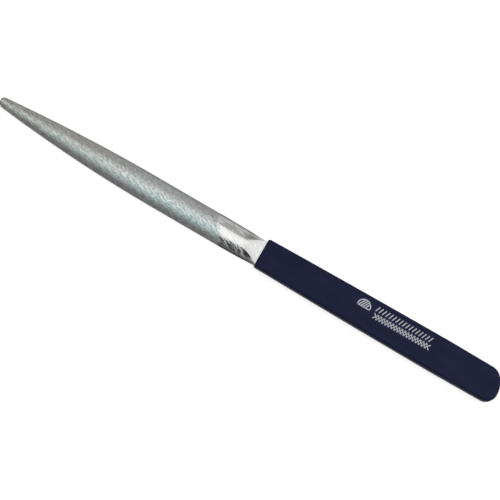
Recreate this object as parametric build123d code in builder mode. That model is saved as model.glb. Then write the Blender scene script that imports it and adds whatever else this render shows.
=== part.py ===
from build123d import *
from math import asin, atan, ceil, cos, radians, sin, tan
import os

# A half round file with a dipped vinyl grip, in millimetres.
# X runs from the tip of the blade to the end of the grip, and Z is up.
# The file lies on the underside of its grip with the round back of the blade uppermost.
# The origin is on the surface it lies on, under the middle of the file.

# Sizes of the whole file
OVERALL_LENGTH = 215.0
EXPOSED_STEEL = 112.6

# Blade: flat below, round above, full at the heel and drawn in towards the tip
BLADE_WIDTH = 11.3
BLADE_HEIGHT = 3.7
TIP_WIDTH = 3.9
TIP_HEIGHT = 1.8
BELLY_LENGTH = 68.0
NOSE_RADIUS = 1.7
TIP_OFFSET = 0.8

# Teeth: one cut, slanted across the blade, on the flat and in flat rows round the back
TOOTH_PITCH = 0.556
TOOTH_DEPTH = 0.2
TOOTH_SLANT = 22.0
BACK_ROWS = 7
CUTTING_FACE_SHARE = 0.15

# Smooth heel behind the teeth, and the neck that flattens it to the tang
HEEL_LENGTH = 10.4
HEEL_END_WIDTH = 11.06
NECK_LENGTH = 8.1
CROWN_WIDTH = 3.4

# Flat tang, which the grip hides
TANG_THICKNESS = 2.6

# Grip: a coat of even thickness on the tang, widest some way before its end
COAT = 0.85
GRIP_LIP_WIDTH = 11.96
GRIP_WIDTH = 13.7
GRIP_END_WIDTH = 13.25
GRIP_WIDEST_FROM_END = 25.0
SWELL_SHARE = 0.35
GRIP_EDGE_RADIUS = 1.2
LIP_CORNER_RADIUS = 0.35
END_RADIUS = 11.0
END_OFFSET = 2.0
END_FAR_CORNER_RADIUS = 5.5
END_NEAR_CORNER_RADIUS = 4.5

# How far a cutting shape runs past what it cuts
OVERRUN = 1.0

# Rounds in which a corner of a slanted tooth settles on the outline of the blade
SETTLING_ROUNDS = 4

# Stations along the file, measured from the tip
tang_start = EXPOSED_STEEL + COAT
neck_start = tang_start - NECK_LENGTH
cut_end = neck_start - HEEL_LENGTH
tip_x = -OVERALL_LENGTH / 2

flat_height = COAT
grip_thickness = TANG_THICKNESS + 2 * COAT
slant = radians(TOOTH_SLANT)

# How far the slanted teeth run past the tip before the nose is cut
teeth_overhang = TIP_WIDTH * tan(slant)


def drawn_in(full, at_tip, station):
    """A size of the blade, which falls off along a parabola from the belly to the tip."""
    if station >= BELLY_LENGTH:
        return full
    return full - (full - at_tip) * (1 - station / BELLY_LENGTH) ** 2


def bow(station):
    """How far the middle of the blade is off the axis of the file. The toothed part bows to its tip."""
    return TIP_OFFSET * (1 - station / cut_end) ** 2


def half_back_angle(half_width, height):
    """Half the angle of the arc that has this half width and height."""
    return 2 * atan(height / half_width)


def back_point(half_width, height, angle_share):
    """A point of the round back, from its middle at a share of 0 to an edge at a share of 1."""
    half_angle = half_back_angle(half_width, height)
    radius = half_width / sin(half_angle)
    angle = half_angle * angle_share
    return radius * sin(angle), height - radius * (1 - cos(angle))


def cross_plane(station, turn=0):
    """A plane across the file at the height of the flat, facing the end of the grip."""
    across = Vector(0, 1, 0).rotate(Axis.Z, turn)
    along = Vector(1, 0, 0).rotate(Axis.Z, turn)
    return Plane(origin=(tip_x + station, 0, flat_height), x_dir=across, z_dir=along)


def tooth_corner(station, angle_share, depth):
    """A corner of a tooth section, where the slanted plane of the cut meets the blade."""
    local = station
    for _ in range(SETTLING_ROUNDS):
        half_width = drawn_in(BLADE_WIDTH, TIP_WIDTH, local) / 2 - depth
        height = drawn_in(BLADE_HEIGHT, TIP_HEIGHT, local) - 2 * depth
        across, up = back_point(half_width, height, angle_share)
        off_axis = across + bow(local)
        local = station - off_axis * tan(slant)
    return off_axis / cos(slant), up + depth


def tooth_section(station, depth):
    """The section through one tooth edge or valley: the flat below, and the rows round the back."""
    row_shares = [1 - 2 * row / BACK_ROWS for row in range(BACK_ROWS + 1)]
    with BuildSketch(cross_plane(station, TOOTH_SLANT)) as section:
        Polygon(*[tooth_corner(station, share, depth) for share in row_shares], align=None)
    return section.sketch.face()


def tooth_sections():
    """The sections of all teeth, from the heel to just past the tip."""
    count = ceil((cut_end + teeth_overhang) / TOOTH_PITCH)
    for tooth in range(count):
        valley = cut_end - tooth * TOOTH_PITCH
        yield tooth_section(valley, TOOTH_DEPTH)
        yield tooth_section(valley - TOOTH_PITCH * (1 - CUTTING_FACE_SHARE), 0)
    yield tooth_section(cut_end - count * TOOTH_PITCH, TOOTH_DEPTH)


def nose_outline():
    """The outline of the nose from above, a little longer than its round corners."""
    root = 2 * NOSE_RADIUS
    tip_half, root_half = TIP_WIDTH / 2, drawn_in(BLADE_WIDTH, TIP_WIDTH, root) / 2
    tip_y, root_y = bow(0), bow(root)
    corners = [
        (0, tip_y - tip_half),
        (root, root_y - root_half),
        (root, root_y + root_half),
        (0, tip_y + tip_half),
    ]
    with BuildSketch() as outline:
        Polygon(*[(tip_x + along, across) for along, across in corners], align=None)
        fillet(outline.vertices().sort_by(Axis.X)[:2], NOSE_RADIUS)
    return outline.sketch


def smooth_section(station, width):
    """The smooth half round section, its back in a crown between two flanks."""
    half_width = width / 2
    half_angle = half_back_angle(half_width, BLADE_HEIGHT)
    crown_share = asin(CROWN_WIDTH / width * sin(half_angle)) / half_angle
    flank_share = (1 + crown_share) / 2
    back_shares = [1, flank_share, crown_share, 0, -crown_share, -flank_share, -1]
    plane = cross_plane(station)
    back = [plane.from_local_coords(back_point(half_width, BLADE_HEIGHT, share)) for share in back_shares]
    return Face(Wire([
        Edge.make_line(back[-1], back[0]),
        Edge.make_three_point_arc(*back[0:3]),
        Edge.make_three_point_arc(*back[2:5]),
        Edge.make_three_point_arc(*back[4:7]),
    ]))


def handle_outline(inset):
    """The outline of the grip from above, or of the tang in it. Its end is rounded more on the far side."""
    front_x, end_x = tip_x + EXPOSED_STEEL + inset, tip_x + OVERALL_LENGTH - inset
    widest_x = tip_x + OVERALL_LENGTH - GRIP_WIDEST_FROM_END
    half, front_half = GRIP_WIDTH / 2 - inset, GRIP_LIP_WIDTH / 2 - inset
    end_half, end_radius = GRIP_END_WIDTH / 2 - inset, END_RADIUS - inset
    swell = ((front_x + widest_x) / 2, half - (half - front_half) * SWELL_SHARE)
    far_x = end_x - end_radius * (1 - cos(asin((end_half + END_OFFSET) / end_radius)))
    near_x = end_x - end_radius * (1 - cos(asin((end_half - END_OFFSET) / end_radius)))
    with BuildSketch() as outline:
        with BuildLine():
            Line((front_x, -front_half), (front_x, front_half))
            ThreePointArc((front_x, front_half), swell, (widest_x, half))
            Line((widest_x, half), (far_x, end_half))
            ThreePointArc((far_x, end_half), (end_x, -END_OFFSET), (near_x, -end_half))
            Line((near_x, -end_half), (widest_x, -half))
            ThreePointArc((widest_x, -half), (swell[0], -swell[1]), (front_x, -front_half))
        make_face()
        fillet(outline.vertices().sort_by(Axis.X)[-2], END_FAR_CORNER_RADIUS - inset)
        fillet(outline.vertices().sort_by(Axis.X)[-1], END_NEAR_CORNER_RADIUS - inset)
    return outline.sketch


os.makedirs("parts", exist_ok=True)

# Smooth end of the steel: tang, neck and heel
with BuildPart() as smooth_steel:
    # The tang is the outline of the grip, drawn in by the coat.
    with BuildSketch(Plane.XY.offset(flat_height)):
        add(handle_outline(COAT))
    extrude(amount=TANG_THICKNESS)
    tang_front = smooth_steel.faces().sort_by(Axis.X)[0]

    # The neck flattens the half round section to the front of the tang.
    heel_end = smooth_section(neck_start, HEEL_END_WIDTH)
    loft(sections=[heel_end, tang_front], ruled=True)

    # The heel starts on the slanted plane where the teeth end.
    heel_reach = BLADE_WIDTH / 2 * tan(slant) + TOOTH_PITCH
    heel_front = smooth_section(cut_end - heel_reach, BLADE_WIDTH)
    heel = loft(sections=[heel_front, heel_end], ruled=True, mode=Mode.PRIVATE)
    add(split(heel, bisect_by=cross_plane(cut_end, TOOTH_SLANT), keep=Keep.TOP, mode=Mode.PRIVATE))

# Blade and tang, one piece of steel
with BuildPart() as blade_with_tang:
    add(smooth_steel.part)
    # The teeth are one ruled skin through their edges and valleys.
    loft(sections=list(tooth_sections()), ruled=True, clean=False)
    # The nose is cut square, and its two corners are rounded.
    with BuildSketch(Plane.XY.offset(flat_height - OVERRUN)):
        with Locations((tip_x + NOSE_RADIUS, TIP_OFFSET)):
            Rectangle(
                NOSE_RADIUS + 2 * teeth_overhang + TOOTH_PITCH,
                TIP_WIDTH + 2 * OVERRUN,
                align=(Align.MAX, Align.CENTER),
            )
        add(nose_outline(), mode=Mode.SUBTRACT)
    extrude(amount=BLADE_HEIGHT + 2 * OVERRUN, mode=Mode.SUBTRACT, clean=False)
blade_with_tang.part.label = "blade_with_tang"
export_step(blade_with_tang.part, "parts/blade_with_tang.step")

# Grip, cast on the tang
with BuildPart() as dipped_grip:
    with BuildSketch():
        add(handle_outline(0))
    extrude(amount=grip_thickness)
    # The lip is crisp, apart from its two corners.
    lip = dipped_grip.faces().sort_by(Axis.X)[0]
    fillet(lip.edges().filter_by(Axis.Z), LIP_CORNER_RADIUS)
    rims = dipped_grip.faces().filter_by(Axis.Z).edges()
    fillet(rims.sort_by(Axis.X)[2:], GRIP_EDGE_RADIUS)
    add(smooth_steel.part, mode=Mode.SUBTRACT)
dipped_grip.part.label = "dipped_grip"
export_step(dipped_grip.part, "parts/dipped_grip.step")
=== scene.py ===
# %% [markdown]
# # A half round file with a dipped grip
#
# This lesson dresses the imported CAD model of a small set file. The file is one bar of hard steel:
# a toothed blade with a flat side and a round side, a smooth heel behind the teeth, and a flat tang.
# The tang has been dipped in navy vinyl, which makes the grip. Blender adds what the CAD solids
# leave out: the second cut of the teeth, the ground finish of the heel, the soft vinyl and the ink.

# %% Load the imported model
from math import asin, atan, atan2, cos, pi, radians, sin, sqrt, tan

import bmesh
import bpy
from mathutils import Matrix, Vector


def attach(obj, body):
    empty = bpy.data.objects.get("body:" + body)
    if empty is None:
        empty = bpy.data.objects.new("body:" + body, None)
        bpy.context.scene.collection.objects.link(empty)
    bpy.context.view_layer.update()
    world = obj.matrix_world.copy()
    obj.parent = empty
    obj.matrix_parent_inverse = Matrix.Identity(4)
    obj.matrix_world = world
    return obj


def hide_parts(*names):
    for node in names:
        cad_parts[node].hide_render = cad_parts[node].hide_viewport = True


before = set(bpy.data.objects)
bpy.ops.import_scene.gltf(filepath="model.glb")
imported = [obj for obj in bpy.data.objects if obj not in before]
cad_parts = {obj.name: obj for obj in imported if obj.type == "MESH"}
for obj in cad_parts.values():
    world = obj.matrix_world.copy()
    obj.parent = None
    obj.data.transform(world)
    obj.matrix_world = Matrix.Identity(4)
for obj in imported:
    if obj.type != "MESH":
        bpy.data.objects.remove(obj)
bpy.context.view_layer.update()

# %% [markdown]
# ## The sizes
#
# Blender works in metres, and a file is thought of in millimetres. All sizes below are in
# millimetres, as the maker's drawing would give them, and each mesh is scaled once when it is made.
# X runs from the tip to the end of the grip, and Z is up, out of the round side of the blade.

# %% Sizes of the file, in millimetres
MM = 0.001
LENGTH = 215.0
EXPOSED_STEEL = 112.6
BLADE_WIDTH = 11.3
BLADE_HEIGHT = 3.7
TIP_WIDTH = 3.9
TIP_HEIGHT = 1.8
BELLY_LENGTH = 68.0
NOSE_RADIUS = 1.7
TIP_OFFSET = 0.8
HEEL_LENGTH = 10.4
HEEL_END_WIDTH = 11.06
NECK_LENGTH = 8.1
COAT = 0.85
TANG_THICKNESS = 2.6
GRIP_LIP_WIDTH = 11.96
GRIP_WIDTH = 13.7
GRIP_END_WIDTH = 13.25
GRIP_WIDEST_FROM_END = 25.0
SWELL_SHARE = 0.35
GRIP_EDGE_RADIUS = 1.2
END_RADIUS = 11.0
END_OFFSET = 2.0
FAR_CORNER_RADIUS = 5.5
NEAR_CORNER_RADIUS = 4.5

TIP_X = -LENGTH / 2
LIP_X = TIP_X + EXPOSED_STEEL
TANG_START = EXPOSED_STEEL + COAT
NECK_START = TANG_START - NECK_LENGTH
CUT_END = NECK_START - HEEL_LENGTH
TANG_FRONT_HALF = GRIP_LIP_WIDTH / 2 - COAT
GRIP_THICKNESS = TANG_THICKNESS + 2 * COAT
print("the teeth end", round(CUT_END, 2), "mm from the tip, and the grip starts at", EXPOSED_STEEL)

# %% [markdown]
# ## The outline of the grip
#
# The grip and the tang inside it share one outline: gently swelling sides, and a blunt end that is
# rounded more on one side than on the other. It could be drawn as a curve and converted, but a few
# lines of geometry give every point together with the direction that faces outwards there. With
# that direction the same outline can be drawn in by any amount, which gives both the tang and the
# rounded edge of the vinyl.

# %% A side of the grip, as points with their outward directions
WIDEST_X = LENGTH / 2 - GRIP_WIDEST_FROM_END
END_CENTRE_X = LENGTH / 2 - END_RADIUS


def side_slope(side):
    """How steeply a side of the grip draws in from its widest place to the round end."""
    half, end_half = GRIP_WIDTH / 2, GRIP_END_WIDTH / 2
    met_x = END_CENTRE_X + END_RADIUS * cos(asin((end_half + side * END_OFFSET) / END_RADIUS))
    return (half - end_half) / (met_x - WIDEST_X)


def side_points(side, stations):
    """A side of the grip at these x: it swells to its widest place, and then draws in a little."""
    swell = (GRIP_WIDTH - GRIP_LIP_WIDTH) / 2
    linear = 4 * SWELL_SHARE - 1
    slope_behind = side_slope(side)
    points = []
    for x in stations:
        rest = (WIDEST_X - x) / (WIDEST_X - LIP_X)
        if rest > 0:
            y = GRIP_WIDTH / 2 - swell * (linear * rest + (1 - linear) * rest ** 2)
            slope = swell * (linear + 2 * (1 - linear) * rest) / (WIDEST_X - LIP_X)
        else:
            y, slope = GRIP_WIDTH / 2 - (x - WIDEST_X) * slope_behind, -slope_behind
        size = sqrt(1 + slope ** 2)
        points.append((x, side * y, -slope / size, side / size))
    return points


print("behind its widest place the far side draws in by", round(side_slope(1), 4), "mm for each mm")

# %% The rounded corners of the end
def corner_arc(side, radius, steps):
    """The rounded corner between a side of the grip and its end, with its outward directions."""
    turn = atan(side_slope(side))
    along, across = cos(turn), sin(turn)
    # The centre of the corner lies on a line inside the side, and inside the arc of the end
    start_x, start_y = WIDEST_X - radius * across, GRIP_WIDTH / 2 - radius * along
    from_x, from_y = start_x - END_CENTRE_X, start_y + side * END_OFFSET
    ahead = from_x * along - from_y * across
    reach = -ahead + sqrt(ahead ** 2 - from_x ** 2 - from_y ** 2 + (END_RADIUS - radius) ** 2)
    centre_x, centre_y = start_x + reach * along, start_y - reach * across
    meet = atan2(centre_y + side * END_OFFSET, centre_x - END_CENTRE_X)
    start = pi / 2 - turn
    arc = []
    for step in range(steps + 1):
        angle = start + (meet - start) * step / steps
        x, y = centre_x + radius * cos(angle), centre_y + radius * sin(angle)
        arc.append((x, side * y, cos(angle), side * sin(angle)))
    return arc


CORNER_STEPS = 16
far_corner = corner_arc(1, FAR_CORNER_RADIUS, CORNER_STEPS)
near_corner = corner_arc(-1, NEAR_CORNER_RADIUS, CORNER_STEPS)
print("the corners start at x =", round(far_corner[0][0], 2), "and", round(near_corner[0][0], 2), "mm")

# %% The whole outline, from the far lip corner round the end to the near lip corner
LIP_STATIONS = [0, 0.05, 0.13, 0.24, 0.4, 0.7, 1.2, 2]
SIDE_STEPS = 44
END_STEPS = 14
LEAST_STEP = 0.01

straight_end = min(far_corner[0][0], near_corner[0][0])
side_start = LIP_X + LIP_STATIONS[-1]
side_length = straight_end - side_start
side_xs = [LIP_X + offset for offset in LIP_STATIONS]
side_xs += [side_start + side_length * step / SIDE_STEPS for step in range(1, SIDE_STEPS + 1)]
far_side = side_points(1, side_xs)
near_side = side_points(-1, side_xs)

start_angle = atan2(far_corner[-1][3], far_corner[-1][2])
end_angle = atan2(near_corner[-1][3], near_corner[-1][2])
end_arc = []
for step in range(1, END_STEPS):
    angle = start_angle + (end_angle - start_angle) * step / END_STEPS
    x, y = END_CENTRE_X + END_RADIUS * cos(angle), -END_OFFSET + END_RADIUS * sin(angle)
    end_arc.append((x, y, cos(angle), sin(angle)))

end_path = [p for p in far_corner if p[0] > straight_end + LEAST_STEP] + end_arc
end_path += [p for p in reversed(near_corner) if p[0] > straight_end + LEAST_STEP]
grip_path = far_side + end_path + near_side[::-1]
print("the outline has", len(grip_path), "points and reaches", round(max(p[0] for p in grip_path), 3), "mm")

# %% [markdown]
# ## A helper that makes a piece
#
# Every piece ends as one mesh whose object sits at the origin, so that the part's frame stays the
# only frame. Faces have to point outwards, which bmesh can work out for a closed mesh. It can also
# fill the gap between two rims with triangles, which closes a piece that has a hollow.

# %% Turn points and faces into a piece
def new_piece(name, points, faces, close_rims=False, smooth_angle=None):
    """A piece from points in millimetres, with its normals turned outwards."""
    mesh = bpy.data.meshes.new(name)
    mesh.from_pydata([(x * MM, y * MM, z * MM) for x, y, z in points], [], faces)
    work = bmesh.new()
    work.from_mesh(mesh)
    if close_rims:
        rims = [edge for edge in work.edges if len(edge.link_faces) == 1]
        bmesh.ops.triangle_fill(work, edges=rims, use_beauty=True)
    bmesh.ops.recalc_face_normals(work, faces=work.faces)
    open_edges = [edge for edge in work.edges if len(edge.link_faces) != 2]
    work.to_mesh(mesh)
    work.free()
    if smooth_angle is not None:
        mesh.shade_smooth()
        mesh.set_sharp_from_angle(angle=radians(smooth_angle))
    piece = bpy.data.objects.new(name, mesh)
    bpy.context.scene.collection.objects.link(piece)
    print(name, "has", len(mesh.polygons), "faces and", len(open_edges), "open edges")
    return piece


# %% [markdown]
# ## The steel: one skin from the tip to the end of the tang
#
# The real blade is ground to a half round section, and then a chisel raises its teeth. The mesh
# follows that order. First comes a plain skin: one ring of points for each line across the blade,
# from the tip to the hidden end of the tang. The rings lie on planes that are slanted like the
# chisel, three for each tooth, so that a later step can raise sharp teeth by moving rings only.
# A boolean cut for each tooth would take minutes, and a bump map alone would leave the edge of the
# blade smooth.

# %% How wide and how high the blade is along its length
def drawn_in(full, at_tip, station):
    """A size of the blade, which falls off along a parabola from the belly to the tip."""
    if station >= BELLY_LENGTH:
        return full
    return full - (full - at_tip) * (1 - max(station, 0) / BELLY_LENGTH) ** 2


def half_width(station):
    """Half the width of the blade, as if its nose were square."""
    half = drawn_in(BLADE_WIDTH, TIP_WIDTH, station) / 2
    if station > CUT_END:
        share = min(1, (station - CUT_END) / HEEL_LENGTH)
        half += (HEEL_END_WIDTH - BLADE_WIDTH) / 2 * share
    return half


def nose_cut(station):
    """How much the round corners of the nose take off each side here."""
    if station >= NOSE_RADIUS:
        return 0
    return NOSE_RADIUS - sqrt(max(0, NOSE_RADIUS ** 2 - (NOSE_RADIUS - station) ** 2))


def bow(station):
    """How far the middle of the blade is off the axis of the file. The toothed part bows to its tip."""
    return TIP_OFFSET * (1 - min(max(station, 0), CUT_END) / CUT_END) ** 2


full_width, tip_width = (round(2 * half_width(station), 2) for station in (BELLY_LENGTH, 0))
print("the blade is", full_width, "mm wide, and", tip_width, "mm at its tip")

# %% The half round section, as the places of a ring's points
FLAT_STEPS = 56
BACK_STEPS = 84
CROWN_STEPS = 20


def back_point(half, height, share):
    """A point of the round back, from one edge at -1 over the middle at 0 to the other edge at 1."""
    half_angle = 2 * atan(height / half)
    radius = half / sin(half_angle)
    return radius * sin(half_angle * share), height - radius * (1 - cos(half_angle * share))


flat_places = [("flat", -1 + 2 * step / FLAT_STEPS) for step in range(FLAT_STEPS)]
back_places = [("back", 1 - 2 * step / BACK_STEPS) for step in range(BACK_STEPS)]
RING_PLACES = flat_places + back_places
print("a ring has", len(RING_PLACES), "points: along the flat, then back over the top")

# %% [markdown]
# ## Rings that lean like the chisel
#
# The teeth lean across the blade by 22 degrees. Rings that stand square across the blade would be
# simpler, but each tooth would then cross many rings, and its edge would be a staircase. So the
# rings lean with the teeth. Right at the nose they straighten out, so that the first ring closes
# the tip squarely. Towards the heel the lean fades again, because the neck meets the flat tang.

# %% Where the rings stand
TOOTH_PITCH = 0.556
TOOTH_SLANT = radians(22)
CUTTING_FACE_SHARE = 0.16
STRAIGHT_TIP = 5.0
NOSE_SHARES = (0, 0.06, 0.2, 0.45, 0.75)
HEEL_COLUMNS = 26
NECK_COLUMNS = 22
NO_TOOTH = -1


def smooth_step(low, high, value):
    """0 below low, 1 above high, and an even rise between them."""
    share = min(1, max(0, (value - low) / (high - low)))
    return share * share * (3 - 2 * share)


def lean(column):
    """How much of the slant a ring has at this place along the middle of the blade."""
    return smooth_step(0, STRAIGHT_TIP, column) * (1 - smooth_step(CUT_END, NECK_START, column))


tooth_count = int(CUT_END / TOOTH_PITCH)
first_valley = CUT_END - tooth_count * TOOTH_PITCH
columns = [(first_valley * share, NO_TOOTH) for share in NOSE_SHARES]
# Each tooth has a ring in its valley, one at its edge and one in the middle of its back
TOOTH_SHARES = (0, CUTTING_FACE_SHARE, (1 + CUTTING_FACE_SHARE) / 2)
for tooth in range(tooth_count):
    valley = first_valley + tooth * TOOTH_PITCH
    columns += [(valley + share * TOOTH_PITCH, tooth + share) for share in TOOTH_SHARES]
columns += [(CUT_END + HEEL_LENGTH * step / HEEL_COLUMNS, NO_TOOTH) for step in range(HEEL_COLUMNS)]
columns += [(NECK_START + NECK_LENGTH * step / NECK_COLUMNS, NO_TOOTH) for step in range(NECK_COLUMNS + 1)]
print(tooth_count, "teeth, so", len(columns), "rings on the blade, heel and neck")

# %% A point of the blade's section, and the same point of the tang
NOSE_WALL_SHARE = 0.05


def section_point(kind, share, station):
    """A point of the blade's section here. The round corners of the nose are cut straight down."""
    half, cut_off = half_width(station), nose_cut(station)
    height = drawn_in(BLADE_HEIGHT, TIP_HEIGHT, station)
    if kind == "flat":
        return share * (half - cut_off), 0
    y, z = back_point(half, height, share)
    if cut_off:
        y *= (half - cut_off) / half
        radius = half / sin(2 * atan(height / half))
        z = height - radius + sqrt(radius ** 2 - y ** 2)
        z = min(z, height * (1 - abs(share)) / NOSE_WALL_SHARE)
    return y, z


def tang_front_point(kind, share):
    """The same point on the front of the flat tang: the crown is its top, and the flanks its sides."""
    if kind == "flat":
        return share * TANG_FRONT_HALF, 0
    crown = CROWN_STEPS / BACK_STEPS
    if abs(share) <= crown:
        return TANG_FRONT_HALF * share / crown, TANG_THICKNESS
    side = 1 if share > 0 else -1
    return side * TANG_FRONT_HALF, TANG_THICKNESS * (1 - (abs(share) - crown) / (1 - crown))


print("the crown is", section_point("back", 0, BELLY_LENGTH)[1], "mm high, and flattens to", TANG_THICKNESS)

# %% Points of a ring
SETTLING_ROUNDS = 4


def ring_points(column):
    """All points of the ring that crosses the middle of the blade here."""
    points = []
    lean_slope = lean(column) * tan(TOOTH_SLANT)
    morph = min(1, max(0, (column - NECK_START) / NECK_LENGTH))
    for kind, share in RING_PLACES:
        station = column
        for _ in range(SETTLING_ROUNDS):
            y, z = section_point(kind, share, station)
            y += bow(station)
            station = column - y * lean_slope
        if morph:
            end_y, end_z = tang_front_point(kind, share)
            y, z = y + (end_y - y) * morph, z + (end_z - z) * morph
        points.append((TIP_X + station, y, COAT + z))
    return points


steel_rings = [ring_points(column) for column, _ in columns]
print("the widest ring is", round(max(p[1] for ring in steel_rings for p in ring) * 2, 2), "mm wide")

# %% [markdown]
# ## The hidden tang
#
# The tang is a flat bar with the outline of the grip, drawn in by the thickness of the coat. It
# can't be seen, but the vinyl would be a block without it. A plain box would do for that, but a
# tang that follows the same outline leaves a coat that is equally thick everywhere. Its rings stand
# square across the bar and crowd together where the end is round, and one skin joins them to the
# blade.

# %% Rings of the tang
def tang_edges(x):
    """The tang's far and near edge at this x, read off the outline of the grip drawn in by the coat."""
    inner = [(px - nx * COAT, py - ny * COAT) for px, py, nx, ny in grip_path]
    edges = []
    for side in (1, -1):
        run = sorted(p for p in inner if side * (p[1] + END_OFFSET) >= 0)
        y = run[-1][1]
        for (x0, y0), (x1, y1) in zip(run, run[1:]):
            if x0 <= x <= x1 and x1 > x0:
                y = y0 + (y1 - y0) * (x - x0) / (x1 - x0)
                break
        edges.append(y)
    return edges


def tang_ring(x):
    """A ring of the tang, in the same order of points as the blade's rings."""
    far, near = tang_edges(x)
    centre, half = (far + near) / 2, (far - near) / 2
    points = []
    for kind, share in RING_PLACES:
        y, z = tang_front_point(kind, share)
        points.append((x, centre + y * half / TANG_FRONT_HALF, COAT + z))
    return points


TANG_STEPS = 30
tang_front, tang_end = TIP_X + TANG_START, LENGTH / 2 - COAT
tang_turns = [sin(pi / 2 * step / TANG_STEPS) for step in range(1, TANG_STEPS)]
tang_xs = [tang_front + (tang_end - tang_front) * turn for turn in tang_turns]
tang_rings = [tang_ring(x) for x in tang_xs]
print("the tang has", len(tang_rings), "rings and ends at x =", round(tang_xs[-1], 2), "mm")

# %% Join the rings to one closed skin
def skin(rings, close_start=True, close_end=True):
    """Points and faces of a closed tube through rings that have the same number of points."""
    size = len(rings[0])
    points = [point for ring in rings for point in ring]
    faces = []
    for start in range(0, (len(rings) - 1) * size, size):
        for place in range(size):
            after = (place + 1) % size
            faces.append((start + place, start + after, start + size + after, start + size + place))
    if close_start:
        faces.append(tuple(range(size))[::-1])
    if close_end:
        last = (len(rings) - 1) * size
        faces.append(tuple(range(last, last + size)))
    return points, faces


steel = new_piece("steel_blade", *skin(steel_rings + tang_rings))

# %% [markdown]
# ## The teeth, raised by a node tree
#
# A file of this kind is cut twice. The overcut is a set of shallow grooves one way, and the upcut
# crosses it and raises the teeth. Their crossing points line up in rows at an angle to the blade,
# and these rows are the streaks that one sees on a real file. Every tooth could be modelled and
# copied along the blade, but the blade tapers, so no two are alike. The shape follows a rule, so
# Geometry Nodes is the tool: each point knows which tooth it belongs to, and the tree pushes it in
# along its normal. The chisel strikes the round back in narrow rows, each a little off from the
# next, and a random value for each row gives that.

# %% Mark each point with its place in the cut
TEETH_FADE = 1.6
BACK_ROWS = 9
# Keeps the very edge of the last row from starting another
BELOW_ONE = 0.9999


def write_values(piece, name, values, beyond=0.0):
    """Write these values to an attribute, and one value to all the points that come after them."""
    rest = len(piece.data.vertices) - len(values)
    layer = piece.data.attributes.new(name, "FLOAT", "POINT")
    layer.data.foreach_set("value", [float(value) for value in values] + [beyond] * rest)


def cut_share(column):
    """1 where the blade is cut, 0 in the heel, and a short run-out between them."""
    return 1 - smooth_step(CUT_END - TEETH_FADE, CUT_END, column)


def off_middle(kind, share, column):
    """How far a point of this ring is off the middle of the blade."""
    half = half_width(column)
    if kind == "flat":
        return share * half
    return back_point(half, drawn_in(BLADE_HEIGHT, TIP_HEIGHT, column), share)[0]


def stroke_row(kind, share):
    """The row of strokes that a point is in: 0 on the flat, and from 1 up over the back."""
    if kind == "flat":
        return 0
    return 1 + int((1 + share) / 2 * BACK_ROWS * BELOW_ONE)


cut_marks = {"tooth": [], "cut": [], "around": [], "row": []}
for column, tooth in columns:
    for kind, share in RING_PLACES:
        cut_marks["tooth"].append(0 if tooth == NO_TOOTH else tooth)
        cut_marks["cut"].append(0 if tooth == NO_TOOTH else cut_share(column))
        cut_marks["around"].append(off_middle(kind, share, column) * MM)
        cut_marks["row"].append(stroke_row(kind, share))
for name, values in cut_marks.items():
    write_values(steel, name, values)
print("the cut is marked on", sum(1 for value in cut_marks["cut"] if value > 0), "points")

# %% Start the tree, with its named inputs
def add_node(tree, kind, inputs=None, **settings):
    """A new node with its settings, and its inputs set to values or linked to other sockets."""
    made = tree.nodes.new(kind)
    for name, value in settings.items():
        setattr(made, name, value)
    for key, value in (inputs or {}).items():
        if isinstance(value, bpy.types.NodeSocket):
            tree.links.new(value, made.inputs[key])
        else:
            made.inputs[key].default_value = value
    return made


def result(tree, kind, inputs=None, output=0, **settings):
    """One output of a new node."""
    return add_node(tree, kind, inputs, **settings).outputs[output]


def tree_with_inputs(name, sockets):
    """An empty geometry tree with named inputs, each with a kind and a default."""
    tree = bpy.data.node_groups.new(name, "GeometryNodeTree")
    tree.interface.new_socket("Geometry", in_out="OUTPUT", socket_type="NodeSocketGeometry")
    tree.interface.new_socket("Geometry", in_out="INPUT", socket_type="NodeSocketGeometry")
    for label, (kind, default) in sockets.items():
        socket = tree.interface.new_socket(label, in_out="INPUT", socket_type="NodeSocket" + kind)
        if default is not None:
            socket.default_value = default
    return tree


teeth_inputs = {
    "Upcut Depth": ("Float", 0.0001),
    "Cutting Face Share": ("Float", CUTTING_FACE_SHARE),
    "Overcut Depth": ("Float", 0.0001),
    "Overcut Pitch": ("Float", 0.001),
    "Overcut Slope": ("Float", 1.0),
    "Row Shift": ("Float", 0.0),
    "Seed": ("Int", 1),
    "Material": ("Material", None),
}
teeth_tree = tree_with_inputs("Cut Teeth", teeth_inputs)
given = add_node(teeth_tree, "NodeGroupInput").outputs
print("the tree", teeth_tree.name, "has the inputs", ", ".join(teeth_inputs))

# %% The upcut and the overcut, as depths
def maths(tree, operation, *values):
    """The result of a Math node."""
    return result(tree, "ShaderNodeMath", dict(enumerate(values)), operation=operation)


def named(tree, name):
    """A float attribute in a geometry tree."""
    return result(tree, "GeometryNodeInputNamedAttribute", {"Name": name}, "Attribute", data_type="FLOAT")


# Upcut: 0 in a valley, up the steep cutting face to 1, and down the long back of the tooth
place = maths(teeth_tree, "FRACT", named(teeth_tree, "tooth"))
rise = maths(teeth_tree, "DIVIDE", place, given["Cutting Face Share"])
back_length = maths(teeth_tree, "SUBTRACT", 1, given["Cutting Face Share"])
fall = maths(teeth_tree, "DIVIDE", maths(teeth_tree, "SUBTRACT", 1, place), back_length)
upcut = maths(teeth_tree, "SUBTRACT", 1, maths(teeth_tree, "MINIMUM", rise, fall))
upcut = maths(teeth_tree, "MULTIPLY", upcut, given["Upcut Depth"])

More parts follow.
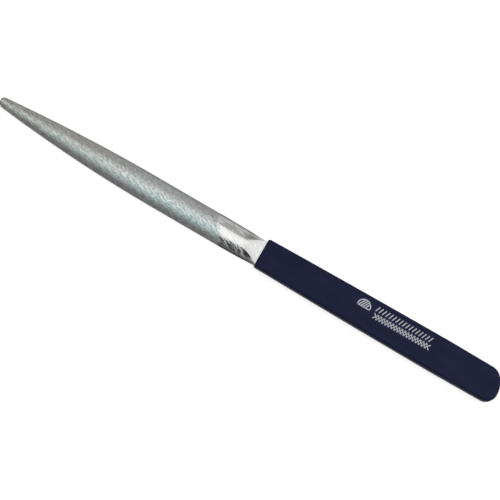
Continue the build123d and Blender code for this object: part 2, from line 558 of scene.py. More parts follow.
# Overcut: grooves that lean the other way, one for each pitch along the blade
position = result(teeth_tree, "GeometryNodeInputPosition")
along = result(teeth_tree, "ShaderNodeSeparateXYZ", {0: position})
leaning = maths(teeth_tree, "MULTIPLY", named(teeth_tree, "around"), given["Overcut Slope"])
groove = maths(teeth_tree, "SUBTRACT", along, leaning)
groove = maths(teeth_tree, "DIVIDE", groove, given["Overcut Pitch"])
groove = maths(teeth_tree, "MULTIPLY", maths(teeth_tree, "PINGPONG", groove, 0.5), 2)
overcut = maths(teeth_tree, "MULTIPLY", groove, given["Overcut Depth"])
print("the depths take", len(teeth_tree.nodes), "nodes")

# %% Push each point in along its normal, and shift each row of strokes along the blade
cut = named(teeth_tree, "cut")
depth = maths(teeth_tree, "ADD", upcut, overcut)
inward = maths(teeth_tree, "MULTIPLY", depth, maths(teeth_tree, "MULTIPLY", cut, -1))
normal = result(teeth_tree, "GeometryNodeInputNormal")
push = result(teeth_tree, "ShaderNodeVectorMath", {0: normal, "Scale": inward}, operation="SCALE")

# A random number from -1 to 1 for each row. These are the node's sockets for plain numbers.
FLOAT_MIN, FLOAT_RESULT = 2, 1
row_inputs = {"ID": named(teeth_tree, "row"), "Seed": given["Seed"], FLOAT_MIN: -1}
random_row = result(teeth_tree, "FunctionNodeRandomValue", row_inputs, FLOAT_RESULT, data_type="FLOAT")
row_shift = maths(teeth_tree, "MULTIPLY", given["Row Shift"], cut)
shift = maths(teeth_tree, "MULTIPLY", random_row, row_shift)
slide = result(teeth_tree, "ShaderNodeCombineXYZ", {0: shift})

offset = result(teeth_tree, "ShaderNodeVectorMath", {0: push, 1: slide}, operation="ADD")
moved = result(teeth_tree, "GeometryNodeSetPosition", {"Geometry": given["Geometry"], "Offset": offset})
real = result(teeth_tree, "GeometryNodeRealizeInstances", {"Geometry": moved})
toothed = result(teeth_tree, "GeometryNodeSetMaterial", {"Geometry": real, "Material": given["Material"]})
add_node(teeth_tree, "NodeGroupOutput", {"Geometry": toothed})
print("the tree", teeth_tree.name, "has", len(teeth_tree.nodes), "nodes")

# %% [markdown]
# ## The places of the finish
#
# On the real file the stone that ground the heel ran out into the teeth, and the crown of the heel
# shines. Its flanks and edges look dark, and here that dark along the edges and on the flanks of the
# neck is painted shade. A mask for each could be painted by hand. Here every point already knows how
# far round and how far along the steel it is, so each mask is worked out from that, and it fits the
# shape exactly. The material reads the masks as attributes.

# %% Mark what is polished, what is flank or neck, and where shade is painted on the edges and the flanks of the neck
POLISH_START = (CUT_END - 3.0, CUT_END + 2.0)
ON_NECK = (NECK_START - 1.0, NECK_START + 1.5)
ON_FAR_NECK = (NECK_START - 2.0, NECK_START + 1.0)
ON_NEAR_NECK = (NECK_START + 1.0, NECK_START + 4.0)
HEEL_FLANK = (0.15, 0.4)
NECK_FLANK = (0.24, 0.3)
NEAR_FLANK = (0.3, 0.5)
# Shares of the way round the back over which the painted shade of the edges rises
RIM_SHADE_SPAN = (0.45, 0.95)


def finish_at(kind, share, column):
    """How much a point belongs to each place of the finish and of the painted shade. The flat has no flanks
    and no painted shade at its rim.
    """
    on_neck = smooth_step(*ON_NECK, column)
    on_back = 1.0 if kind == "back" else 0.0
    flank = [heel + (neck - heel) * on_neck for heel, neck in zip(HEEL_FLANK, NECK_FLANK)]
    far_neck = smooth_step(*NECK_FLANK, share) * smooth_step(*ON_FAR_NECK, column)
    near_neck = smooth_step(*NEAR_FLANK, -share) * smooth_step(*ON_NEAR_NECK, column)
    return {
        "flank": on_back * smooth_step(*flank, abs(share)),
        "rim": on_back * smooth_step(*RIM_SHADE_SPAN, abs(share)),
        "polish": smooth_step(*POLISH_START, column),
        "neck": on_neck,
        "far_neck": on_back * far_neck,
        "near_neck": on_back * near_neck,
    }


finishes = [finish_at(kind, share, column) for column, _ in columns for kind, share in RING_PLACES]
FINISH_NAMES = list(finishes[0])
for name in FINISH_NAMES:
    # The hidden tang counts as polished
    on_tang = 1.0 if name == "polish" else 0.0
    write_values(steel, name, [finish[name] for finish in finishes], beyond=on_tang)
print("the steel has the masks", ", ".join(FINISH_NAMES))

# %% [markdown]
# ## The finish of the steel
#
# Hard steel is a metal, so its colour is the colour of its reflections. The cut part scatters light
# and looks grey, with rows and flecks of bright tooth points. The heel is only ground, so it is
# brighter and mirrors more, with scratches that run across it at an angle. Photographs of steel
# could be laid on it, but noise that is drawn out along one direction looks the same, fits any
# size and needs no seams. One material serves the whole bar, because the real finish has no border.
# The flecks of bright tooth points are painted glints.

# %% A steel material, and noise that is drawn out into strokes
STREAK_TURN = -26
SCRATCH_DEPTH = 8.0
MOST_NOISE = (0.3, 0.7)


def new_material(name):
    """A material with its tree and its shader."""
    material = bpy.data.materials.new(name)
    material.use_nodes = True
    return material, material.node_tree, material.node_tree.nodes["Principled BSDF"]


def turned_place(tree, turn, stretch):
    """The piece's own coordinates, turned about Z by some degrees and drawn out along each axis."""
    place = result(tree, "ShaderNodeTexCoord", output="Object")
    inputs = {"Vector": place, "Rotation": (0, 0, radians(turn)), "Scale": stretch}
    return result(tree, "ShaderNodeMapping", inputs, vector_type="TEXTURE")


def stretched_noise(tree, turn, stretch, scale, detail, depth=1.0):
    """Noise that is drawn out along a line turned about Z, and in depth."""
    place = turned_place(tree, turn, (stretch, 1, depth))
    return result(tree, "ShaderNodeTexNoise", {"Vector": place, "Scale": scale, "Detail": detail}, "Fac")


file_steel, tree, shader = new_material("file_steel")
shader.inputs["Metallic"].default_value = 1.0
mask = {
    name: result(tree, "ShaderNodeAttribute", output="Fac", attribute_name=name)
    for name in FINISH_NAMES
}
streaks = stretched_noise(tree, STREAK_TURN, stretch=2.5, scale=2300.0, detail=2.0)
scratches = stretched_noise(tree, STREAK_TURN, stretch=7.0, scale=1300.0, detail=4.0, depth=SCRATCH_DEPTH)
heel_marks = stretched_noise(tree, STREAK_TURN, stretch=9.0, scale=2700.0, detail=2.0, depth=SCRATCH_DEPTH)
flecks = stretched_noise(tree, STREAK_TURN, stretch=2.5, scale=1500.0, detail=1.0, depth=SCRATCH_DEPTH)
lanes = stretched_noise(tree, 0, stretch=9.0, scale=1100.0, detail=1.0, depth=SCRATCH_DEPTH)
print("file_steel reads", len(mask), "masks and five noises")

# %% Values that change across the blade and along it
NEAR_Y, FAR_Y = -1.0, 1.5


def spread(tree, value, low, high, to_low, to_high):
    """A value mapped from one range to another and held inside it."""
    inputs = {"Value": value, "From Min": low, "From Max": high, "To Min": to_low, "To Max": to_high}
    return result(tree, "ShaderNodeMapRange", inputs)


def near_to_far(at_near, at_far):
    """A value that changes over the middle of the back, from its near side to its far side."""
    return spread(tree, steel_y, NEAR_Y * MM, FAR_Y * MM, at_near, at_far)


def behind_tip(reach, at_tip, beyond):
    """A value that changes from the tip to a place this far behind it."""
    return spread(tree, steel_x, TIP_X * MM, (TIP_X + reach) * MM, at_tip, beyond)


steel_place = result(tree, "ShaderNodeTexCoord", output="Object")
steel_x = result(tree, "ShaderNodeSeparateXYZ", {0: steel_place}, "X")
steel_y = result(tree, "ShaderNodeSeparateXYZ", {0: steel_place}, "Y")
print("the near side ends at y =", NEAR_Y, "mm, and the far side starts at", FAR_Y, "mm")

# %% Rows of tooth points: bands that wander a little, clearest on the near side of the back
STROKE_TURN = -33
STROKE_SPACING = 1.9
# A wave texture with a scale of 1 turns by this much in each metre
WAVE_RADIANS = 20
LANE_WANDER = 16.0
NEAR_BANDS, FAR_BANDS = 0.3, 0.04
TIP_FLECKS, OTHER_FLECKS = 1.3, 0.6
FLECK_REACH = 50.0


def blend_values(tree, share, at_0, at_1):
    """A value between two values."""
    return result(tree, "ShaderNodeMix", {0: share, 2: at_0, 3: at_1}, data_type="FLOAT")


wave = {
    "Vector": turned_place(tree, STROKE_TURN + 90, (1, 1, SCRATCH_DEPTH)),
    "Scale": 2 * pi / WAVE_RADIANS / (STROKE_SPACING * MM),
    "Distortion": 1.0,
    "Detail": 1.0,
    "Detail Scale": 4.0,
    "Phase Offset": maths(tree, "MULTIPLY", lanes, LANE_WANDER),
}
bands = result(tree, "ShaderNodeTexWave", wave, "Fac")
rows = blend_values(tree, near_to_far(NEAR_BANDS, FAR_BANDS), streaks, bands)

# Painted glints: flecks of brighter and darker grey where teeth catch the light, strongest near the tip
fleck_share = behind_tip(FLECK_REACH, TIP_FLECKS, OTHER_FLECKS)
rows = maths(tree, "ADD", rows, maths(tree, "MULTIPLY", maths(tree, "SUBTRACT", flecks, 0.5), fleck_share))
print("the rows of tooth points are", STROKE_SPACING, "mm apart and lean by", -STROKE_TURN, "degrees")

# %% Where the heel is polished: a ragged start, and coarse marks that run on over its flanks
RAGGED = 2.2
FEWER_AT_RIM = 0.14
MARK_RANGE = (0.48, 0.54)
MARK_SHARE = 0.9
FAR_MARKS = 0.5
POLISH_EDGE = (0.35, 0.65)

wander = maths(tree, "MULTIPLY", maths(tree, "SUBTRACT", scratches, 0.5), RAGGED)
heel_marks = maths(tree, "SUBTRACT", heel_marks, maths(tree, "MULTIPLY", mask["rim"], FEWER_AT_RIM))
heel_marks = spread(tree, heel_marks, *MARK_RANGE, 0, MARK_SHARE)
heel_marks = maths(tree, "MULTIPLY", heel_marks, mask["flank"])
heel_marks = maths(tree, "MULTIPLY", heel_marks, near_to_far(1, FAR_MARKS))
# No heel marks where shade is painted on the far flank of the neck
heel_marks = maths(tree, "MULTIPLY", heel_marks, maths(tree, "SUBTRACT", 1, mask["far_neck"]))
polished = maths(tree, "SUBTRACT", maths(tree, "ADD", mask["polish"], wander), heel_marks)
polished = spread(tree, polished, *POLISH_EDGE, 0, 1)
print("the polish starts", round(CUT_END, 1), "mm behind the tip, give or take the scratches")

# %% The greys of the cut part, which dulls towards the tip and has painted shade at its edges
CUT_DARK = (0.36, 0.36, 0.353, 1)
CUT_LIGHT = (0.57, 0.57, 0.56, 1)
TIP_DULL = (0.185, 0.138, 0.100, 1)
TIP_DULL_SHARE = 0.31
MARK_GREY = (0.85, 0.85, 0.84, 1)
# Painted shade: the greys that darken the cut part and the heel marks at the edges of the round back
CUT_RIM_SHADE = (0.17, 0.17, 0.167, 1)
MARKED_RIM_SHADE = (0.018, 0.018, 0.018, 1)
CUT_RIM_SHADE_SHARE, MARKED_RIM_SHADE_SHARE = 0.8, 0.95


def blend_colours(tree, share, at_0, at_1):
    """A colour between two colours."""
    return result(tree, "ShaderNodeMix", {0: share, 6: at_0, 7: at_1}, 2, data_type="RGBA")


cut_grey = blend_colours(tree, spread(tree, rows, 0.25, 0.75, 0, 1), CUT_DARK, CUT_LIGHT)
cut_grey = blend_colours(tree, behind_tip(BELLY_LENGTH, TIP_DULL_SHARE, 0), cut_grey, TIP_DULL)

# The marks on the heel are bright near its crown, and painted shade makes them dark at the rim
cut_grey = blend_colours(tree, mask["polish"], cut_grey, MARK_GREY)
rim_shade_grey = blend_colours(tree, mask["polish"], CUT_RIM_SHADE, MARKED_RIM_SHADE)
rim_shade_share = blend_values(tree, mask["polish"], CUT_RIM_SHADE_SHARE, MARKED_RIM_SHADE_SHARE)
# Painted shade along the edges of the round back
cut_grey = blend_colours(tree, maths(tree, "MULTIPLY", mask["rim"], rim_shade_share), cut_grey, rim_shade_grey)
print("file_steel has", len(tree.nodes), "nodes so far")

# %% The greys of the ground part: bright on its crown, duller on the neck, with painted shade on the flanks of the neck and at the rim
GROUND_DARK = (0.52, 0.52, 0.513, 1)
GROUND_LIGHT = (0.69, 0.69, 0.683, 1)
# Painted shade for the edges of the ground part
GROUND_RIM_SHADE = (0.014, 0.014, 0.014, 1)
NECK_GREY, NECK_SHARE = (0.42, 0.42, 0.415, 1), 0.85
# Painted shade: a darker grey on the far flank of the neck
FAR_NECK_SHADE, FAR_NECK_SHADE_SHARE = (0.22, 0.22, 0.218, 1), 0.42
# Painted shade: near black on the near flank of the neck
NEAR_NECK_SHADE, NEAR_NECK_SHADE_SHARE = (0.03, 0.03, 0.03, 1), 0.65


def shade(grey, name, most, colour):
    """A grey that turns to a colour where a mask says so, by this share at most."""
    return blend_colours(tree, maths(tree, "MULTIPLY", mask[name], most), grey, colour)


ground_grey = blend_colours(tree, spread(tree, scratches, *MOST_NOISE, 0, 1), GROUND_DARK, GROUND_LIGHT)
ground_grey = shade(ground_grey, "neck", NECK_SHARE, NECK_GREY)
# Painted shade on the far flank of the neck
ground_grey = shade(ground_grey, "far_neck", FAR_NECK_SHADE_SHARE, FAR_NECK_SHADE)
# Painted shade: the ground part turns almost black along the edges of the round back
ground_grey = blend_colours(tree, mask["rim"], ground_grey, GROUND_RIM_SHADE)
steel_grey = blend_colours(tree, polished, cut_grey, ground_grey)
# Painted shade on the near flank of the neck, over both finishes
steel_grey = shade(steel_grey, "near_neck", NEAR_NECK_SHADE_SHARE, NEAR_NECK_SHADE)
tree.links.new(steel_grey, shader.inputs["Base Color"])
print("the ground part has a grey from", GROUND_DARK[0], "to", GROUND_LIGHT[0])

# %% How rough and how bumpy the steel is
CUT_ROUGHNESS = (0.62, 0.50)
GROUND_ROUGHNESS = (0.3, 0.18)
BUMP_HEIGHT = 0.2
CUT_BUMP = 0.3
CROWN_BUMP, FLANK_BUMP = 0.05, 0.4


def bump(tree, height, strength, distance, **more):
    """The normals of a bumpy surface. The distance is the height of its bumps in millimetres."""
    inputs = {"Height": height, "Strength": strength, "Distance": distance * MM} | more
    return result(tree, "ShaderNodeBump", inputs)


cut_rough = spread(tree, streaks, *MOST_NOISE, *CUT_ROUGHNESS)
ground_rough = spread(tree, scratches, *MOST_NOISE, *GROUND_ROUGHNESS)
tree.links.new(blend_values(tree, polished, cut_rough, ground_rough), shader.inputs["Roughness"])
cut_bump = bump(tree, streaks, CUT_BUMP, BUMP_HEIGHT)
ground_strength = blend_values(tree, mask["flank"], CROWN_BUMP, FLANK_BUMP)
ground_bump = bump(tree, scratches, ground_strength, BUMP_HEIGHT)
both_bumps = {0: polished, 4: cut_bump, 5: ground_bump}
steel_bump = result(tree, "ShaderNodeMix", both_bumps, 1, data_type="VECTOR")
tree.links.new(steel_bump, shader.inputs["Normal"])
print("file_steel has", len(tree.nodes), "nodes")

# %% [markdown]
# ## Cut the teeth
#
# The tree now runs on the plain skin. A Geometry Nodes modifier could stay on the piece, but the
# export and the body that the piece rides on need a plain mesh. So the result replaces the mesh,
# and the modifier goes. The teeth are shaded flat and the rest smooth, as a chisel leaves them.

# %% Run the tree and keep its result
def grow(piece, tree, **values):
    """Run a tree on a piece with these inputs, and keep the result as the piece's plain mesh."""
    modifier = piece.modifiers.new(tree.name, "NODES")
    modifier.node_group = tree
    for socket in tree.interface.items_tree:
        key = socket.name.lower().replace(" ", "_")
        if key in values:
            modifier[socket.identifier] = values[key]
    graph = bpy.context.evaluated_depsgraph_get()
    mesh = bpy.data.meshes.new_from_object(piece.evaluated_get(graph))
    piece.modifiers.remove(modifier)
    piece.data = mesh
    print(piece.name, "after", tree.name, "has", len(mesh.polygons), "faces")


grow(
    steel,
    teeth_tree,
    upcut_depth=0.14 * MM,
    cutting_face_share=CUTTING_FACE_SHARE,
    overcut_depth=0.06 * MM,
    overcut_pitch=1.07 * MM,
    overcut_slope=tan(radians(48)),
    row_shift=0.02 * MM,
    seed=4,
    material=file_steel,
)

# %% Shade the teeth flat and the rest smooth
STEEL_EDGE = radians(24)
steel.data.shade_smooth()
steel.data.set_sharp_from_angle(angle=STEEL_EDGE)
tang_points = len(steel.data.vertices) - len(cut_marks["cut"])
is_cut = [value > 0 for value in cut_marks["cut"]] + [False] * tang_points
is_smooth = [not any(is_cut[corner] for corner in face.vertices) for face in steel.data.polygons]
steel.data.polygons.foreach_set("use_smooth", is_smooth)
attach(steel, "root")
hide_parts("blade_with_tang")
print("the steel reaches up to", round(max(v.co.z for v in steel.data.vertices) / MM, 3), "mm")

# %% [markdown]
# ## The grip
#
# The vinyl coat is equally thick everywhere, so its outside is the outline of the tang, drawn out and
# rounded over. An extruded curve with a bevel would round the lip as well, and could not hold the
# hollow. So its mesh is swept along the outline: at each point of the path stands one profile,
# which goes from the flat on top round the edge to the flat below. Two strips close the flats. The
# lip at the front is rolled in a little, as dipped vinyl is where it was cut off. Inside, the coat
# has the hollow that the tang fills.

# %% The profile of the edge
EDGE_STEPS = 7
FLAT_RIM = 0.35


def edge_profile():
    """Pairs of how far in and how high the skin of the grip is, from the top flat to the bottom one."""
    radius, top = GRIP_EDGE_RADIUS, GRIP_THICKNESS
    turns = [pi / 2 * step / EDGE_STEPS for step in range(EDGE_STEPS + 1)]
    upper = [(radius * (1 - sin(turn)), top - radius * (1 - cos(turn))) for turn in turns]
    lower = [(inset, top - height) for inset, height in reversed(upper)]
    return [(radius + FLAT_RIM, top)] + upper + lower + [(radius + FLAT_RIM, 0)]


profile = edge_profile()
print("the profile has", len(profile), "points and is", GRIP_THICKNESS, "mm high")

# %% Sweep the profile along the outline
LIP_ROLL = 0.45
LIP_REACH = 1.0


def lip_inset(x):
    """How far the skin is rolled in near the lip."""
    along = min(1, (x - LIP_X) / LIP_REACH)
    return LIP_ROLL * (1 - sqrt(1 - (1 - along) ** 2))


grip_points, grip_faces = [], []
for x, y, nx, ny in grip_path:
    roll = lip_inset(x)
    for inset, height in profile:
        squeezed = GRIP_THICKNESS / 2 + (height - GRIP_THICKNESS / 2) * (1 - 2 * roll / GRIP_THICKNESS)
        across = inset + roll
        grip_points.append((max(LIP_X, x - nx * across), y - ny * across, squeezed))
profile_size = len(profile)
for stop in range(len(grip_path) - 1):
    for step in range(profile_size - 1):
        here = stop * profile_size + step
        ahead = here + profile_size
        grip_faces.append((here, ahead, ahead + 1, here + 1))
print("the edge of the grip has", len(grip_faces), "faces")

# %% The flats: strips between the two sides, and one face for the round end
side_count = len(far_side)
last_stop = len(grip_path) - 1
for place in (0, profile_size - 1):
    for stop in range(side_count - 1):
        far, near = stop * profile_size + place, (last_stop - stop) * profile_size + place
        grip_faces.append((far, far + profile_size, near - profile_size, near))
    end_stops = range(side_count - 1, last_stop - side_count + 2)
    grip_faces.append(tuple(stop * profile_size + place for stop in end_stops))
print("with its flats, the outside of the grip has", len(grip_faces), "faces")

# %% The hollow, and the front face of the lip
lip_ring = [(LIP_X, y, z) for _, y, z in ring_points(EXPOSED_STEEL)]
hollow_points, hollow_faces = skin([lip_ring, ring_points(TANG_START)] + tang_rings, close_start=False)
base = len(grip_points)
grip_points += hollow_points
grip_faces += [tuple(base + corner for corner in face) for face in hollow_faces]
grip = new_piece("grip_coat", grip_points, grip_faces, close_rims=True, smooth_angle=35)
print("the hollow has", len(hollow_faces), "of these faces")

# %% [markdown]
# ## The vinyl
#
# Dipped vinyl has the colour all the way through, a satin skin, and the very fine ripple of a
# liquid that has set. A plain colour would look like paint. Two noises are enough here: a slow one
# for the mottling and the ripple, and a fine one for the satin grain.

# %% Navy vinyl
NAVY_DARK = (0.0055, 0.0077, 0.0297, 1)
NAVY_LIGHT = (0.0077, 0.0102, 0.0352, 1)
VINYL_ROUGHNESS = (0.46, 0.56)
VINYL_GLOSS = 0.083

navy_vinyl, tree, shader = new_material("navy_vinyl")
mottle = stretched_noise(tree, 0, stretch=3.0, scale=220.0, detail=3.0)
grain = stretched_noise(tree, 0, stretch=1.0, scale=2400.0, detail=2.0)
navy = blend_colours(tree, spread(tree, mottle, 0.35, 0.65, 0, 1), NAVY_DARK, NAVY_LIGHT)
tree.links.new(navy, shader.inputs["Base Color"])
tree.links.new(spread(tree, grain, *MOST_NOISE, *VINYL_ROUGHNESS), shader.inputs["Roughness"])
shader.inputs["Specular IOR Level"].default_value = VINYL_GLOSS
ripple = bump(tree, mottle, strength=0.12, distance=0.5)
tree.links.new(bump(tree, grain, strength=0.1, distance=0.1, Normal=ripple), shader.inputs["Normal"])
grip.data.materials.append(navy_vinyl)
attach(grip, "root")
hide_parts("dipped_grip")
print("navy_vinyl is on", grip.name)

# %% [markdown]
# ## The ink on the grip
#
# Such grips carry a small pale print. This one is generic: a hatched half round section, and two
# swatches that show a single cut and a crossed cut. The ink is printed, so it is flat and only a
# few hundredths of a millimetre thick. It could be a mask in the vinyl, but thin pieces keep their
# edges crisp at any distance. The strokes repeat, so a small node tree lays them.

# %% The tree that lays a row of strokes
stroke_inputs = {
    "Count": ("Int", 10),
    "Pitch": ("Float", 0.001),
    "Start": ("Vector", None),
    "Stroke": ("Vector", None),
    "Slant": ("Float", 0.0),
    "Material": ("Material", None),
}
stroke_tree = tree_with_inputs("Row Of Strokes", stroke_inputs)
given = add_node(stroke_tree, "NodeGroupInput").outputs
step = result(stroke_tree, "ShaderNodeCombineXYZ", {0: given["Pitch"]})
line_inputs = {"Count": given["Count"], "Start Location": given["Start"], "Offset": step}
line = result(stroke_tree, "GeometryNodeMeshLine", line_inputs)
bar = result(stroke_tree, "GeometryNodeMeshCube", {"Size": given["Stroke"]}, "Mesh")
turn = result(stroke_tree, "ShaderNodeCombineXYZ", {2: given["Slant"]})
laid_inputs = {"Points": line, "Instance": bar, "Rotation": turn}
laid = result(stroke_tree, "GeometryNodeInstanceOnPoints", laid_inputs)
real = result(stroke_tree, "GeometryNodeRealizeInstances", {"Geometry": laid})
inked = result(stroke_tree, "GeometryNodeSetMaterial", {"Geometry": real, "Material": given["Material"]})
joined = add_node(stroke_tree, "GeometryNodeJoinGeometry")
stroke_tree.links.new(given["Geometry"], joined.inputs[0])
stroke_tree.links.new(inked, joined.inputs[0])
add_node(stroke_tree, "NodeGroupOutput", {"Geometry": joined.outputs[0]})
print("the tree", stroke_tree.name, "has", len(stroke_tree.nodes), "nodes")

# %% Pale ink, a little speckled where it did not take
INK_THIN = (0.40, 0.42, 0.47, 1)
INK_FULL = (0.50, 0.52, 0.57, 1)
INK_ROUGHNESS = (0.55, 0.7)
INK_GLOSS = 0.2

pale_ink, tree, shader = new_material("pale_ink")
speckle = stretched_noise(tree, 0, stretch=1.0, scale=3000.0, detail=2.0)
ink_colour = blend_colours(tree, spread(tree, speckle, 0.4, 0.6, 0, 1), INK_THIN, INK_FULL)
tree.links.new(ink_colour, shader.inputs["Base Color"])
tree.links.new(spread(tree, speckle, *MOST_NOISE, *INK_ROUGHNESS), shader.inputs["Roughness"])
shader.inputs["Specular IOR Level"].default_value = INK_GLOSS
print("pale_ink has", len(tree.nodes), "nodes")

# %% Print the two swatches
INK = 0.05
INK_Z = GRIP_THICKNESS + 0.005
STROKE_WIDTH = 0.36
STROKE_HEIGHT = 2.1

strokes = bpy.data.objects.new("cut_swatches", bpy.data.meshes.new("cut_swatches"))
bpy.context.scene.collection.objects.link(strokes)
# Each row has a count, a pitch, the place of its first stroke and the slant of its strokes
single_row = (17, 1.42, (53.2, 3.3), -24)
crossed_rows = [(18, 1.3, (53.8, 0.4), slant) for slant in (42, -42)]
for count, pitch, (start_x, start_y), slant in [single_row] + crossed_rows:
    stroke_length = STROKE_HEIGHT / cos(radians(slant))
    grow(
        strokes,
        stroke_tree,
        count=count,
        pitch=pitch * MM,
        start=[start_x * MM, start_y * MM, INK_Z * MM],
        stroke=[STROKE_WIDTH * MM, stroke_length * MM, INK * MM],
        slant=radians(slant),
        material=pale_ink,
    )
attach(strokes, "root")

# %% The lines of the section mark
MARK_HALF, MARK_HEIGHT, MARK_LINE = 2.75, 3.3, 0.4
MARK_STEPS = 28
HATCH_STARTS = (-2.1, -1.15, -0.2, 0.75)
HATCH_TURN = radians(58)
arc_radius = MARK_HALF / sin(2 * atan(MARK_HEIGHT / MARK_HALF))
arc_centre = Vector((0, MARK_HEIGHT - arc_radius))


def mark_arc(inset):
    """The round back of the section mark, drawn in by this much."""
    shares = [1 - 2 * step / MARK_STEPS for step in range(MARK_STEPS + 1)]
    points = [Vector(back_point(MARK_HALF, MARK_HEIGHT, share)) for share in shares]
    return [arc_centre + (point - arc_centre) * (1 - inset / arc_radius) for point in points]


def hatch_stroke(start):
    """A slanted stroke from the flat of the section mark up to its round back."""
    ahead = Vector((cos(HATCH_TURN), sin(HATCH_TURN)))
    aside = Vector((-ahead.y, ahead.x)) * MARK_LINE / 2
    foot = Vector((start, MARK_LINE / 2))
    from_centre = foot - arc_centre
    back = from_centre.dot(ahead)
    reach = -back + sqrt(back ** 2 - from_centre.length_squared + (arc_radius - MARK_LINE / 2) ** 2)
    head = foot + ahead * reach
    return [foot - aside, head - aside, head + aside, foot + aside]


flat_line = [
    Vector((-MARK_HALF, 0)),
    Vector((MARK_HALF, 0)),
    Vector((MARK_HALF, MARK_LINE)),
    Vector((-MARK_HALF, MARK_LINE)),
]
mark_shapes = [mark_arc(0) + mark_arc(MARK_LINE)[::-1], flat_line]
mark_shapes += [hatch_stroke(start) for start in HATCH_STARTS]
print("the section mark is", 2 * MARK_HALF, "by", MARK_HEIGHT, "mm, in", len(mark_shapes), "lines")

# %% Print the section mark
MARK_X, MARK_Y = 48.0, 1.1

mark_points, mark_faces = [], []
for shape in mark_shapes:
    layers = []
    for z in (INK_Z - INK / 2, INK_Z + INK / 2):
        layers.append([(MARK_X + point.x, MARK_Y + point.y, z) for point in shape])
    line_points, line_faces = skin(layers)
    base = len(mark_points)
    mark_points += line_points
    mark_faces += [tuple(base + corner for corner in face) for face in line_faces]
section_mark = new_piece("section_mark", mark_points, mark_faces)
section_mark.data.materials.append(pale_ink)
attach(section_mark, "root")

# %% [markdown]
# ## Floor and light
#
# The floor is plain and white. Its brightness comes from its own glow, which only the camera and
# the reflections see, so the lamps can stay at a plain level and the shadow stays on the floor. It
# lies a hair below the file, because two faces at one height would flicker. The light could be a
# picture of a studio wrapped round the scene, but lamps are easier to place. One large softbox
# hangs overhead, and small lamps stand beyond the grip and to both sides. A softbox shows on a
# round, polished surface as a bright band with clear edges, which makes the heel read as ground
# metal. A cooler lamp lights the steel alone, for the blue cast on the backs of its teeth, and a
# dark card, seen only in reflections, keeps the near side of the steel dark.

# %% Floor
def add_sheet(name, corners, material):
    """A single face of the stage, with a material."""
    mesh = bpy.data.meshes.new(name)
    mesh.from_pydata(corners, [], [tuple(range(len(corners)))])
    mesh.materials.append(material)
    sheet = bpy.data.objects.new(name, mesh)
    bpy.context.scene.collection.objects.link(sheet)
    return sheet


FLOOR_HALF = 3.0
FLOOR_DROP = 0.05
FLOOR_GREY = 0.42
FLOOR_GLOW = 0.7

white_paper, tree, shader = new_material("white_paper")
shader.inputs["Base Color"].default_value = (FLOOR_GREY, FLOOR_GREY, FLOOR_GREY, 1)
shader.inputs["Roughness"].default_value = 0.9
shader.inputs["Specular IOR Level"].default_value = 0.0
shader.inputs["Emission Color"].default_value = (1, 1, 1, 1)
rays = add_node(tree, "ShaderNodeLightPath").outputs
seen = maths(tree, "MAXIMUM", rays["Is Camera Ray"], rays["Is Glossy Ray"])
seen = maths(tree, "MAXIMUM", seen, rays["Is Transmission Ray"])
tree.links.new(maths(tree, "MULTIPLY", seen, FLOOR_GLOW), shader.inputs["Emission Strength"])
directions = ((-1, -1), (1, -1), (1, 1), (-1, 1))
floor_corners = [(x * FLOOR_HALF, y * FLOOR_HALF, -FLOOR_DROP * MM) for x, y in directions]
add_sheet("floor", floor_corners, white_paper)
print("the floor lies", FLOOR_DROP, "mm below the file")

# %% World and lamps
SKY_STRENGTH = 0.43
world = bpy.data.worlds.new("studio")
bpy.context.scene.world = world
world.use_nodes = True
sky = world.node_tree.nodes["Background"]
sky.inputs["Color"].default_value = (1, 1, 1, 1)
sky.inputs["Strength"].default_value = SKY_STRENGTH


def placed(right, up, back, place):
    """The matrix of a lamp or a camera at this place, from its three directions."""
    return Matrix.Translation(place) @ Matrix((right, up, back)).transposed().to_4x4()


def add_lamp(name, tilt_y, tilt_x, distance, size_x, size_y, power):
    """An area lamp that faces the file from a direction that is tilted from straight up."""
    data = bpy.data.lights.new(name, "AREA")
    data.shape = "RECTANGLE"
    data.size, data.size_y = size_x, size_y
    data.energy = power
    lamp = bpy.data.objects.new(name, data)
    bpy.context.scene.collection.objects.link(lamp)
    towards = Vector((tan(radians(tilt_x)), tan(radians(tilt_y)), 1)).normalized()
    side = towards.cross(Vector((1, 0, 0))).normalized()
    across = side.cross(towards).normalized()
    lamp.matrix_world = placed(across, side, towards, towards * distance)
    return lamp


# Tilt to the far side and to the grip in degrees, distance and two sizes in metres, power in watts
LAMPS = {
    "softbox": (-1, 0, 1.2, 1.1, 1.5, 5.5),
    "far_strip": (62, 0, 1.2, 1.1, 0.87, 0.3),
    "far_lamp": (20, 34, 1.3, 0.45, 0.45, 3.2),
    "high_lamp": (40, 34, 1.3, 0.45, 0.45, 1.6),
    "middle_lamp": (0, 34, 1.3, 0.45, 0.45, 1.45),
    "near_lamp": (-60, 34, 1.3, 0.45, 0.45, 0.87),
    "cool_lamp": (-12, 50, 1.3, 0.45, 0.45, 3.6),
}
lamps = {name: add_lamp(name, *settings) for name, settings in LAMPS.items()}
print("the file is lit by", ", ".join(lamps))

# %% The cool lamp lights the steel alone
COOL = (0.2, 1.0, 1.0)
cool_lamp = lamps["cool_lamp"]
cool_lamp.data.color = COOL
steel_alone = bpy.data.collections.new("lit_by_cool_lamp")
steel_alone.objects.link(steel)
cool_lamp.light_linking.receiver_collection = steel_alone

# %% A dark card on the near side, seen only in reflections
CARD_HALF, CARD_Y, CARD_TOP = 1.6, -1.0, 1.45
CARD_GREY = 0.08

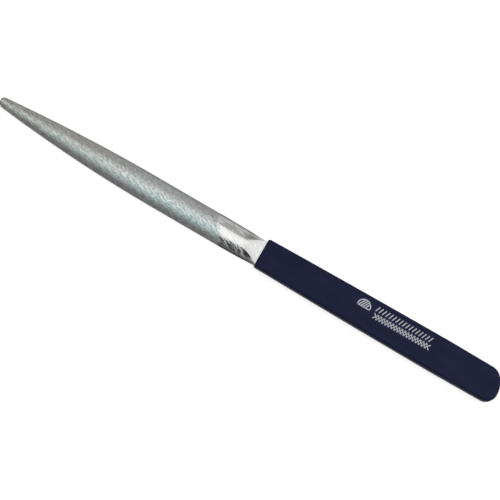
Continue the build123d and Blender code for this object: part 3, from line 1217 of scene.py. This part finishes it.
card_paper, tree, shader = new_material("dark_card")
shader.inputs["Base Color"].default_value = (CARD_GREY, CARD_GREY, CARD_GREY, 1)
shader.inputs["Roughness"].default_value = 1.0
card_places = ((-CARD_HALF, 0.0), (CARD_HALF, 0.0), (CARD_HALF, CARD_TOP), (-CARD_HALF, CARD_TOP))
card = add_sheet("dark_card", [(x, CARD_Y, z) for x, z in card_places], card_paper)
card.visible_camera = False
card.visible_diffuse = False
card.visible_shadow = False
print("the card is", 2 * CARD_HALF, "m wide and", CARD_TOP, "m high")

# %% [markdown]
# ## The camera
#
# The file was seen from a little in front of straight above, and it lies across the picture. The
# camera could be moved until the picture looks right. It is worked out instead: the elevation, the
# roll, and how many millimetres one pixel covers give its directions and its lens, and the middle
# of the file is aimed at its own pixel.

# %% Camera
ELEVATION = radians(77)
ROLL = radians(30.086)
PICTURE = 500
MM_PER_PIXEL = 0.3726
DISTANCE = 800.0
SENSOR = 36.0
CLIP_START = 0.01
# The pixel of the middle of the file, from the left and from the top
FILE_CENTRE = (249.29, 246.17)

towards_camera = Vector((0, -cos(ELEVATION), sin(ELEVATION)))
along = Vector((1, 0, 0))
upwards = towards_camera.cross(along)
right = along * cos(ROLL) + upwards * sin(ROLL)
up = upwards * cos(ROLL) - along * sin(ROLL)
off_right = (PICTURE / 2 - FILE_CENTRE[0]) * MM_PER_PIXEL
off_up = (FILE_CENTRE[1] - PICTURE / 2) * MM_PER_PIXEL
target = Vector((0, 0, GRIP_THICKNESS / 2)) + right * off_right + up * off_up

camera_data = bpy.data.cameras.new("camera")
camera_data.sensor_width = SENSOR
camera_data.lens = SENSOR * DISTANCE / (PICTURE * MM_PER_PIXEL)
camera_data.clip_start = CLIP_START
camera = bpy.data.objects.new("camera", camera_data)
bpy.context.scene.collection.objects.link(camera)
camera_place = (target + towards_camera * DISTANCE) * MM
camera.matrix_world = placed(right, up, towards_camera, camera_place)
bpy.context.scene.camera = camera
bpy.context.scene.view_settings.view_transform = "Standard"
print("the lens is", round(camera_data.lens, 1), "mm, at", DISTANCE, "mm from the file")
